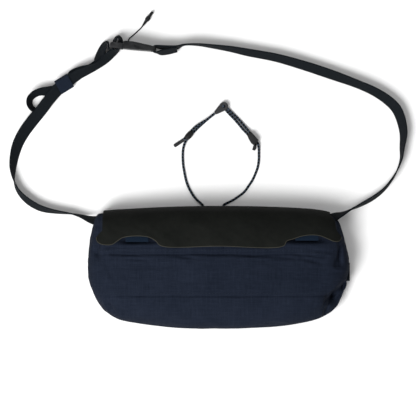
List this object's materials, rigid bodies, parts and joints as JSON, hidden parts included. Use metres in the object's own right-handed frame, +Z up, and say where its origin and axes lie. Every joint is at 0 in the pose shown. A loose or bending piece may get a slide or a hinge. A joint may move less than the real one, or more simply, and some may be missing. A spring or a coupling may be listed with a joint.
{
  "type": "handlebar bag",
  "caption": "Soft zipped bag with a facing flap and flat back, on a webbing belt with a side-release buckle, and an elastic cord loop with a lock, bead and hook.",
  "frame": {"origin": "middle of the flat back panel's outer face, which lies on the floor", "axes": "+X along the bag's width to its right as it is looked down on, +Y to its top, where the strap and cords lie, +Z up through its front"},
  "size_m": [0.4574, 0.3637, 0.0649],
  "materials": {
    "bag_fabric": "fine navy ripstop cloth, matt",
    "flap_facing": "thin olive-black facing with a matt nap",
    "webbing": "dark navy woven webbing",
    "bright_webbing": "blue woven webbing",
    "plastic": "dark grey moulded plastic, satin",
    "elastic_cord": "braided elastic cord, black with navy flecks"
  },
  "bodies": {
    "root": {"bag_shell": "bag_fabric", "back_panel": "bag_fabric", "zip": "webbing", "flap": "flap_facing", "webbing_loop_left": "bright_webbing", "webbing_loop_right": "bright_webbing", "side_tab": "webbing", "cord_tab": "webbing", "strap_left": "webbing", "strap_tail": "webbing", "strap_keeper": "bright_webbing", "strap_right": "webbing", "buckle_ladder": "plastic", "buckle_body": "plastic", "pull_cord": "elastic_cord", "pull_tab": "plastic", "elastic_left": "elastic_cord", "elastic_left_end": "elastic_cord", "elastic_right": "elastic_cord", "elastic_right_end": "elastic_cord", "cord_bead": "plastic", "cord_lock": "plastic", "cord_hook": "plastic", "cord_cap_left": "plastic", "cord_cap_right": "plastic"}
  },
  "joints": []
}
